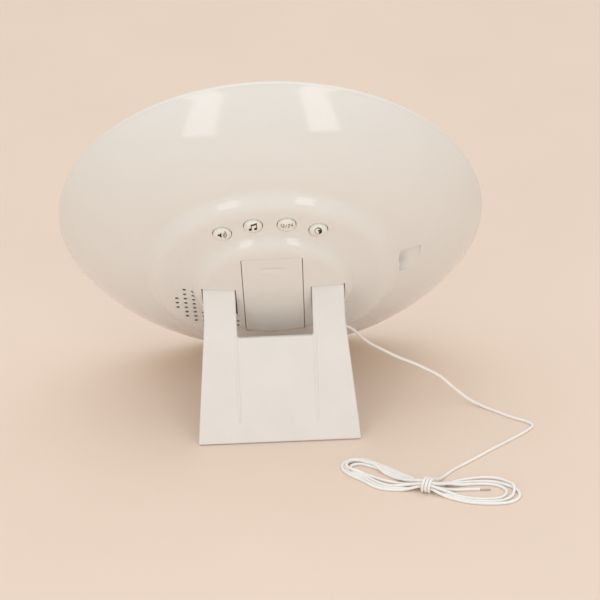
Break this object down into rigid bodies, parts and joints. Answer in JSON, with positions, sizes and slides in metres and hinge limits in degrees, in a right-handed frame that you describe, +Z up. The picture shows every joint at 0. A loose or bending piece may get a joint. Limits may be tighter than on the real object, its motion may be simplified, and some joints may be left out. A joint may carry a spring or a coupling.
{
  "type": "clock radio",
  "caption": "Round wake-up clock radio leaning on a fold-out leg, with a stepped back, push buttons, a battery door, speaker holes, a power socket and a wire aerial.",
  "frame": {"origin": "middle of the footprint, on the surface it stands on", "axes": "+Z up, +Y towards the back with the leg, +X to the left when seen from behind"},
  "size_m": [0.2092, 0.1529, 0.1699],
  "materials": {
    "gloss_white": "glossy moulded white",
    "satin_white": "fine satin white",
    "opal_front": "milky translucent",
    "smoked_lens": "clear dark tint",
    "black_plastic": "plain black",
    "green_board": "solder mask",
    "plated_steel": "bright plating",
    "speaker_paper": "black paper",
    "cell_wrap": "shrink sleeve",
    "grey_rubber": "matt",
    "wire_sleeve": "soft vinyl sleeve"
  },
  "bodies": {
    "body": {"rear_shell": "gloss_white", "front_ring": "gloss_white", "display_collar": "gloss_white", "light_reflector": "gloss_white", "led_ring_board": "gloss_white", "battery_tray": "gloss_white", "antenna_grommet": "satin_white", "light_diffuser": "opal_front", "display_lens": "smoked_lens", "clock_display": "black_plastic", "dc_jack": "black_plastic", "speaker_frame": "black_plastic", "tact_switch_1": "black_plastic", "tact_switch_2": "black_plastic", "tact_switch_3": "black_plastic", "tact_switch_4": "black_plastic", "display_board": "green_board", "touch_board": "green_board", "main_board": "green_board", "button_board": "green_board", "speaker_magnet": "plated_steel", "stand_pin_left": "plated_steel", "stand_pin_right": "plated_steel", "reflector_screw_1": "plated_steel", "reflector_screw_2": "plated_steel", "reflector_screw_3": "plated_steel", "reflector_screw_4": "plated_steel", "battery_spring_1": "plated_steel", "battery_spring_2": "plated_steel", "battery_contact_1": "plated_steel", "battery_contact_2": "plated_steel", "speaker_cone": "speaker_paper", "battery_cell_1": "cell_wrap", "battery_cell_2": "cell_wrap", "rim_foot_left": "grey_rubber", "rim_foot_right": "grey_rubber", "antenna_wire": "wire_sleeve", "antenna_hank": "wire_sleeve"},
    "leg": {"stand": "satin_white", "stand_pad_left": "grey_rubber", "stand_pad_right": "grey_rubber"},
    "door": {"battery_door": "gloss_white"},
    "button_volume_cap": {"button_volume": "gloss_white"},
    "button_sound_cap": {"button_sound": "gloss_white"},
    "button_hour_format_cap": {"button_hour_format": "gloss_white"},
    "button_brightness_cap": {"button_brightness": "gloss_white"}
  },
  "joints": [
    {"name": "button_volume_press", "type": "slide", "parent": "body", "child": "button_volume_cap", "axis": [0, -0.891, 0.454], "range_m": [0, 0.0008], "stiffness_N_per_m": 400, "springref_m": -0.0008},
    {"name": "button_sound_press", "type": "slide", "parent": "body", "child": "button_sound_cap", "axis": [0, -0.891, 0.454], "range_m": [0, 0.0008], "stiffness_N_per_m": 400, "springref_m": -0.0008},
    {"name": "button_hour_format_press", "type": "slide", "parent": "body", "child": "button_hour_format_cap", "axis": [0, -0.891, 0.454], "range_m": [0, 0.0008], "stiffness_N_per_m": 400, "springref_m": -0.0008},
    {"name": "button_brightness_press", "type": "slide", "parent": "body", "child": "button_brightness_cap", "axis": [0, -0.891, 0.454], "range_m": [0, 0.0008], "stiffness_N_per_m": 400, "springref_m": -0.0008},
    {"name": "battery_door_hinge", "type": "hinge", "parent": "body", "child": "door", "pos_m": [0, 0.00877, 0.03579], "axis": [-1, 0, 0], "range_deg": [0, 21]},
    {"name": "stand_fold", "type": "hinge", "parent": "body", "child": "leg", "pos_m": [0, 0.03009, 0.06926], "axis": [1, 0, 0], "range_deg": [-28, 0]}
  ]
}
